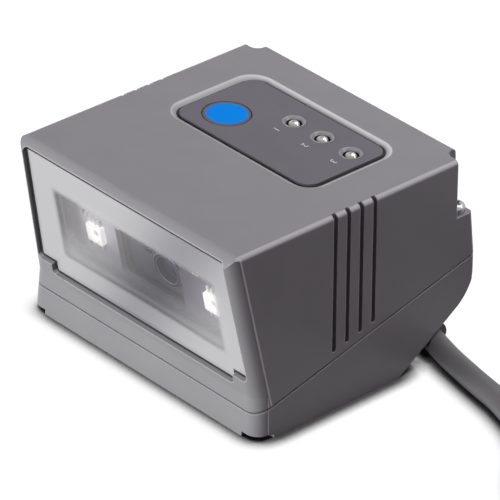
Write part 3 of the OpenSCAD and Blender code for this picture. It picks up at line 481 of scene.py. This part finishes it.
past = add(tree, "ShaderNodeMath", {0: past_x.outputs[0], 1: past_z.outputs[0]}, {2: OPENING_CORNER},
           operation="SMOOTH_MAX")
border = add(tree, "ShaderNodeMapRange", {"Value": past.outputs[0]},
             {"From Min": FADE_FROM, "From Max": FADE_TO, "To Max": PRINT_COVER},
             interpolation_type="SMOOTHSTEP")
dark = mouth(tree)
clear = add(tree, "ShaderNodeMapRange", {"Value": dark}, {"To Min": 1.0, "To Max": HAZE_AT_MOUTH})
low_haze = add(tree, "ShaderNodeMapRange", {"Value": place["Z"]},
               {"From Min": HAZE_LOW_Z, "From Max": HAZE_HIGH_Z, "To Min": HAZE_LOW, "To Max": HAZE_HIGH},
               interpolation_type="SMOOTHSTEP")
haze = add(tree, "ShaderNodeMath", {0: low_haze.outputs["Result"], 1: clear.outputs["Result"]},
           operation="MULTIPLY")
cover = add(tree, "ShaderNodeMath", {0: haze.outputs[0], 1: border.outputs["Result"]}, operation="MAXIMUM")
# The print is painted darker in the camera's mouth, as shade from the dark inside
frost = add(tree, "ShaderNodeValToRGB", {"Fac": dark},
            stops=((0.0, linear("b2b2b3")), (0.5, linear("a3a3a5")), (1.0, linear("85858a"))))
shader = add(tree, "ShaderNodeBsdfPrincipled",
             {"Base Color": frost.outputs["Color"], "Alpha": cover.outputs[0]}, {"Roughness": 0.08})
add(tree, "ShaderNodeOutputMaterial", {"Surface": shader.outputs["BSDF"]})
dress(window, "window")
dress(rubber, "window_seal")

# Top cover
# The upper half of the housing, from the same grey ABS, with the grooves, the window frame, the
# recess of the label and two notches at the back for its screws.
COVER_TOP = 45.5 * MM
cover_abs = moulded("grey_abs_painted_highlights", **GREY_ABS)
tree = cover_abs.node_tree
shader = tree.nodes["Principled BSDF"]
eroded_with_edge_highlight = shader.inputs["Base Color"].links[0].from_socket
# The rounded upper edges get a painted highlight: |n.x| * n.z is 0 on the faces and highest half-way round
ROUND_HIGHLIGHT = 2.0
normal = add(tree, "ShaderNodeNewGeometry").outputs["Normal"]
face = add(tree, "ShaderNodeSeparateXYZ", {"Vector": normal}).outputs
sideways = apart(tree, face["X"])
between = add(tree, "ShaderNodeMath", {0: sideways, 1: face["Z"]}, operation="MULTIPLY")
rounded = add(tree, "ShaderNodeMapRange", {"Value": between.outputs[0]},
              {"From Min": 0.15, "From Max": 0.5}, interpolation_type="SMOOTHSTEP")
round_highlight = add(tree, "ShaderNodeMix", {"Factor": rounded.outputs["Result"], MIX_A: eroded_with_edge_highlight},
              {MIX_B: shade(GREY_ABS["hex_colour"], ROUND_HIGHLIGHT)}, data_type="RGBA")
# The chamfer round the label has a painted highlight, paler than the eroded faces and palest at its top,
# down to painted shade in the gap at its foot
LABEL_LOW, LABEL_HIGH = (np.array(corner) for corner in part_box("label_overlay"))
LABEL_MIDDLE, LABEL_HALF = (LABEL_LOW + LABEL_HIGH) / 2, (LABEL_HIGH - LABEL_LOW) / 2
CHAMFER, RECESS = 2.2 * MM, 0.8 * MM
where = add(tree, "ShaderNodeTexCoord").outputs["Object"]
offset = add(tree, "ShaderNodeVectorMath", {0: where}, {1: (*LABEL_MIDDLE[:2], COVER_TOP)},
             operation="SUBTRACT")
from_label = add(tree, "ShaderNodeSeparateXYZ", {"Vector": offset.outputs["Vector"]}).outputs
inside = add(tree, "ShaderNodeMapRange", {"Value": from_label["Z"]},
             {"From Min": -0.03 * MM, "From Max": -0.12 * MM})
for axis, half in zip("XY", LABEL_HALF):
    within = add(tree, "ShaderNodeMath", {0: apart(tree, from_label[axis])}, {1: half + CHAMFER},
                 operation="LESS_THAN")
    inside = add(tree, "ShaderNodeMath", {0: inside.outputs[0], 1: within.outputs[0]}, operation="MULTIPLY")
depth = add(tree, "ShaderNodeMapRange", {"Value": from_label["Z"]}, {"From Min": 0.0, "From Max": -RECESS})
slope = add(tree, "ShaderNodeValToRGB", {"Fac": depth.outputs["Result"]},
            stops=((0.05, linear("c8c8ca")), (0.45, linear("acacae")), (0.82, linear("929294")),
                   (0.9, linear("2a292c"))))
chamfer_highlight = add(tree, "ShaderNodeMix",
               {"Factor": inside.outputs[0], MIX_A: round_highlight.outputs[MIXED], MIX_B: slope.outputs["Color"]},
               data_type="RGBA")
# A fine bright line down each side, where the tool's front slide ended, is a painted highlight
SLIDE_END = 3.4 * MM
on_line = add(tree, "ShaderNodeMapRange", {"Value": apart(tree, front_place(tree)["Y"], SLIDE_END)},
              {"From Min": 0.05 * MM, "From Max": 0.25 * MM, "To Min": 1.0, "To Max": 0.0})
on_side = add(tree, "ShaderNodeMath", {0: sideways}, {1: 0.7}, operation="GREATER_THAN")
step_highlight = add(tree, "ShaderNodeMath", {0: on_line.outputs["Result"], 1: on_side.outputs[0]},
              operation="MULTIPLY")
lined = add(tree, "ShaderNodeMix", {"Factor": step_highlight.outputs[0], MIX_A: chamfer_highlight.outputs[MIXED]},
            {MIX_B: linear("d2d2d4")}, data_type="RGBA")
tree.links.new(lined.outputs[MIXED], shader.inputs["Base Color"])
dress(cover_abs, "top_cover")

# Zinc-plated heads, flat, with a driver's cross painted dark on them as the shade of its recess
SCREW_LOW, SCREW_HIGH = (np.array(corner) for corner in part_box("cover_screws"))
SCREW_R = (SCREW_HIGH[1] - SCREW_LOW[1]) / 2
CROSS_HALF_W, CROSS_REACH = 0.14 * SCREW_R, 0.55 * SCREW_R
crossed = plated("zinc_plate_crossed", **ZINC)
tree = crossed.node_tree
shader = tree.nodes["Principled BSDF"]
bright = shader.inputs["Base Color"].links[0].from_socket
where = add(tree, "ShaderNodeTexCoord").outputs["Object"]
along = add(tree, "ShaderNodeSeparateXYZ", {"Vector": where}).outputs
arms = {0: apart(tree, apart(tree, along["X"]), SCREW_HIGH[0] - SCREW_R),
        1: apart(tree, along["Y"], SCREW_HIGH[1] - SCREW_R)}
nearer = add(tree, "ShaderNodeMath", arms, operation="MINIMUM")
farther = add(tree, "ShaderNodeMath", arms, operation="MAXIMUM")
narrow = add(tree, "ShaderNodeMath", {0: nearer.outputs[0]}, {1: CROSS_HALF_W}, operation="LESS_THAN")
short = add(tree, "ShaderNodeMath", {0: farther.outputs[0]}, {1: CROSS_REACH}, operation="LESS_THAN")
cross = add(tree, "ShaderNodeMath", {0: narrow.outputs[0], 1: short.outputs[0]}, operation="MULTIPLY")
cross_shade = add(tree, "ShaderNodeMix", {"Factor": cross.outputs[0], MIX_A: bright}, {MIX_B: linear("1f1f22")},
             data_type="RGBA")
tree.links.new(cross_shade.outputs[MIXED], shader.inputs["Base Color"])
dress(crossed, "cover_screws")

# Label
# A polycarbonate film glued into the recess and printed grey on its back, with a lamp in each of
# three dished holes and plain numerals beside them.
# The printed film is an even satin grey
LABEL_TOP = 45.2
film = moulded("satin_polycarbonate", "626167", roughness=0.45, grain_mm=0.25, relief_mm=0.003, mottle=0.03,
               **{"Specular IOR Level": 0.2})
dress(film, "label_overlay")

LAMP_X, LAMP_Y = (-1.2, 7.35, 15.9), 14.635
DISH_STEPS = 48
# Outline of a dish, turned round the lamp's axis: radius and height over the label in millimetres,
# from the lip inwards, down and back
DISH = np.array([(2.62, 0.0), (2.55, 0.1), (2.4, 0.12), (2.25, 0.05), (2.0, -0.25), (1.75, -0.42),
                 (1.72, -0.5), (2.3, -0.5), (2.38, -0.3), (2.38, -0.02)])
angle = np.arange(DISH_STEPS) / DISH_STEPS * 2 * np.pi
dish = np.stack([DISH[:, :1] * np.cos(angle), DISH[:, :1] * np.sin(angle), DISH[:, 1:] + 0 * angle],
                axis=-1).reshape(-1, 3)
lamps = np.array([(x, LAMP_Y, LABEL_TOP) for x in LAMP_X])
quads = np.arange(len(lamps))[:, None, None] * len(dish) + wrapped(len(DISH), DISH_STEPS, True)
dishes = new_mesh("lamp_dishes", (lamps[:, None] + dish).reshape(-1, 3) * MM, quads.reshape(-1, 4).tolist())
dishes.shade_smooth()
# The formed rims are glossier than the flat film, and drawn paler as a painted highlight
formed = moulded("formed_polycarbonate", "7e7d82", roughness=0.35, grain_mm=0.25, relief_mm=0.003,
                 mottle=0.03)
on_housing("lamp_dishes", dishes, formed)


def from_axis(tree, place):
    """The distance of a place from the z axis, in plan."""
    plan = add(tree, "ShaderNodeVectorMath", {0: place}, {1: (1, 1, 0)}, operation="MULTIPLY")
    return add(tree, "ShaderNodeVectorMath", {0: plan.outputs["Vector"]}, operation="LENGTH").outputs["Value"]


# Clear epoxy over a silvered cup: it mirrors like metal, with a duller die in the middle of its dome,
# painted paler part-way out as a highlight and darker towards the rim as shade
LAMP_R = 1.6 * MM
epoxy, tree = new_material("clear_epoxy")
where = add(tree, "ShaderNodeTexCoord").outputs["Object"]
pitch = (LAMP_X[1] - LAMP_X[0]) * MM
offset = add(tree, "ShaderNodeVectorMath", {0: where}, {1: (LAMP_X[1] * MM, LAMP_Y * MM, 0)},
             operation="SUBTRACT")
each = add(tree, "ShaderNodeVectorMath", {0: offset.outputs["Vector"]},
           {1: (pitch / 2, 1, 1), 2: (-pitch / 2, -1, -1)}, operation="WRAP")
outward = add(tree, "ShaderNodeMapRange", {"Value": from_axis(tree, each.outputs["Vector"])},
              {"From Max": LAMP_R})
cup = add(tree, "ShaderNodeValToRGB", {"Fac": outward.outputs["Result"]},
          stops=((0.15, linear("7d7b79")), (0.5, linear("b0aeaa")), (1.0, linear("5c5a5c"))))
shader = add(tree, "ShaderNodeBsdfPrincipled", {"Base Color": cup.outputs["Color"]},
             {"Roughness": 0.25, "Metallic": 0.85, "Coat Weight": 1.0, "Coat Roughness": 0.03})
add(tree, "ShaderNodeOutputMaterial", {"Surface": shader.outputs["BSDF"]})
dress(epoxy, "trigger_lamp", "good_read_lamp", "power_lamp")

# White ink: a flat pale grey film
ink = moulded("white_ink", "c9c8cc", roughness=0.5, grain_mm=0.3, relief_mm=0.002)
NUMERAL_H, NUMERAL_STEP = 2.3, 5.2
INK_HALF, INK_Z = 0.01, 0.011
for number, x in enumerate(LAMP_X, 1):
    text = bpy.data.curves.new("numeral", "FONT")
    text.body = str(number)
    text.size = NUMERAL_H * MM
    text.extrude = INK_HALF * MM
    text.align_x = text.align_y = "CENTER"
    drawn = bpy.data.objects.new("numeral", text)
    bpy.context.collection.objects.link(drawn)
    mesh = bpy.data.meshes.new_from_object(drawn.evaluated_get(bpy.context.evaluated_depsgraph_get()))
    bpy.data.objects.remove(drawn)
    mesh.transform(Matrix.Translation(Vector((x, LAMP_Y - NUMERAL_STEP, LABEL_TOP + INK_Z)) * MM)
                   @ Matrix.Rotation(-math.pi / 2, 4, "Z"))
    on_housing(f"lamp_numeral_{number}", mesh, ink)

# Key
# A round cap that slides in the label and presses a switch below, moulded in grey.
# Its blue spot is sprayed on, with a soft edge.
# Sprayed paint is flat and matt, and leaves a grey rim on the cap
KEY_X, KEY_Y = -12.5 * MM, 5.835 * MM
SPOT_R, SPRAY_HALF = 4.45 * MM, 0.5 * MM
key, tree = new_material("sprayed_blue_cap")
where = add(tree, "ShaderNodeTexCoord").outputs["Object"]
offset = add(tree, "ShaderNodeVectorMath", {0: where}, {1: (KEY_X, KEY_Y, 0)}, operation="SUBTRACT")
spot = add(tree, "ShaderNodeMapRange", {"Value": from_axis(tree, offset.outputs["Vector"])},
           {"From Min": SPOT_R - SPRAY_HALF, "From Max": SPOT_R + SPRAY_HALF},
           interpolation_type="SMOOTHSTEP")
sprayed = add(tree, "ShaderNodeValToRGB", {"Fac": spot.outputs["Result"]},
              stops=((0.0, linear("0086e8")), (1.0, linear("626167"))))
shader = add(tree, "ShaderNodeBsdfPrincipled",
             {"Base Color": sprayed.outputs["Color"],
              "Normal": grain(tree, width_mm=0.25, relief_mm=0.003).outputs["Normal"]},
             {"Roughness": 0.55, "Specular IOR Level": 0.05})
add(tree, "ShaderNodeOutputMaterial", {"Surface": shader.outputs["BSDF"]})
dress(key, "trigger_key")

# Studio
# A white table under an even pale sky, a soft box over it from behind, one low in front to the left,
# and a small one at the back right that draws the edges.
TABLE_HALF = 3
corners = [(-1, -1), (1, -1), (1, 1), (-1, 1)]
table = new_mesh("floor", [(TABLE_HALF * x, TABLE_HALF * y, 0) for x, y in corners], [(0, 1, 2, 3)])
floor = bpy.data.objects.new("floor", table)
bpy.context.collection.objects.link(floor)


def seen_directly(tree):
    """1 for what the camera sees, straight or in metal or glass, and 0 for light that falls on the part."""
    path = add(tree, "ShaderNodeLightPath").outputs
    straight = add(tree, "ShaderNodeMath", {0: path["Is Camera Ray"], 1: path["Is Glossy Ray"]},
                   operation="MAXIMUM")
    return add(tree, "ShaderNodeMath", {0: straight.outputs[0], 1: path["Is Transmission Ray"]},
               operation="MAXIMUM").outputs[0]


# White paper: it looks white, with a short painted shadow where the part stands, drawn from how closely
# the part hems it in and deepest on the side away from LIGHT_SIDE. The light that it sends back to the part
# is that of a dark grey table
CONTACT = 4.2 * MM
LIGHT_SIDE = (-0.4, 0.0, 0.92)
DEEPEST, OPEN, PAPER_GLOW = 0.57, 0.95, 0.98
paper, tree = new_material("white_paper")
lean = add(tree, "ShaderNodeCombineXYZ", None, dict(zip("XYZ", LIGHT_SIDE)))
near = add(tree, "ShaderNodeAmbientOcclusion", {"Normal": lean.outputs["Vector"]}, {"Distance": CONTACT},
           samples=8)
open_sky = add(tree, "ShaderNodeMapRange", {"Value": near.outputs["AO"]},
               {"From Min": DEEPEST, "From Max": OPEN, "To Min": 0.0, "To Max": PAPER_GLOW})
glow = add(tree, "ShaderNodeEmission", {"Strength": open_sky.outputs["Result"]}, {"Color": linear("ffffff")})
lit = add(tree, "ShaderNodeBsdfDiffuse", None, {"Color": linear("616161")})
shown = add(tree, "ShaderNodeAddShader", {0: lit.outputs["BSDF"], 1: glow.outputs["Emission"]})
bounced = add(tree, "ShaderNodeBsdfDiffuse", None, {"Color": linear("4b454b")})
mix = add(tree, "ShaderNodeMixShader",
          {0: seen_directly(tree), 1: bounced.outputs["BSDF"], 2: shown.outputs["Shader"]})
add(tree, "ShaderNodeOutputMaterial", {"Surface": mix.outputs["Shader"]})
table.materials.append(paper)

# The sky lights the part evenly and a little pink, and looks white itself
world = bpy.data.worlds.new("sky")
bpy.context.scene.world = world
world.use_nodes = True
tree = world.node_tree
tree.nodes.clear()
sky = add(tree, "ShaderNodeBackground", None, {"Color": linear("ffd7f7"), "Strength": 0.132})
backdrop = add(tree, "ShaderNodeBackground", None, {"Color": linear("ffffff"), "Strength": 1.0})
mix = add(tree, "ShaderNodeMixShader",
          {0: seen_directly(tree), 1: sky.outputs["Background"], 2: backdrop.outputs["Background"]})
add(tree, "ShaderNodeOutputWorld", {"Surface": mix.outputs["Shader"]})

# The side lights leave the table out, so that its white stays even
all_but_table = bpy.data.collections.new("not_the_table")
all_but_table.objects.link(floor)
all_but_table.collection_objects[0].light_linking.link_state = "EXCLUDE"


def soft_box(name, direction, distance, size, level, lights_table=True):
    """A square area lamp in that direction from the part. The level is what a white card that faces it would
    show, so the power is level * pi^2 * distance^2."""
    place = Vector(direction).normalized() * distance
    lamp = bpy.data.lights.new(name, "AREA")
    lamp.size = size
    lamp.energy = level * math.pi ** 2 * distance ** 2
    box = bpy.data.objects.new(name, lamp)
    box.matrix_world = Matrix.Translation(place) @ (-place).to_track_quat("-Z", "Y").to_matrix().to_4x4()
    bpy.context.collection.objects.link(box)
    if not lights_table:
        box.light_linking.receiver_collection = all_but_table


soft_box("top_box", (0.1, 0.5, 0.86), distance=0.42, size=0.21, level=0.45)
soft_box("front_box", (-0.15, -0.97, 0.2), distance=1.2, size=0.7, level=1.65, lights_table=False)
soft_box("edge_box", (0.55, 0.58, 0.6), distance=1.2, size=0.25, level=0.2, lights_table=False)
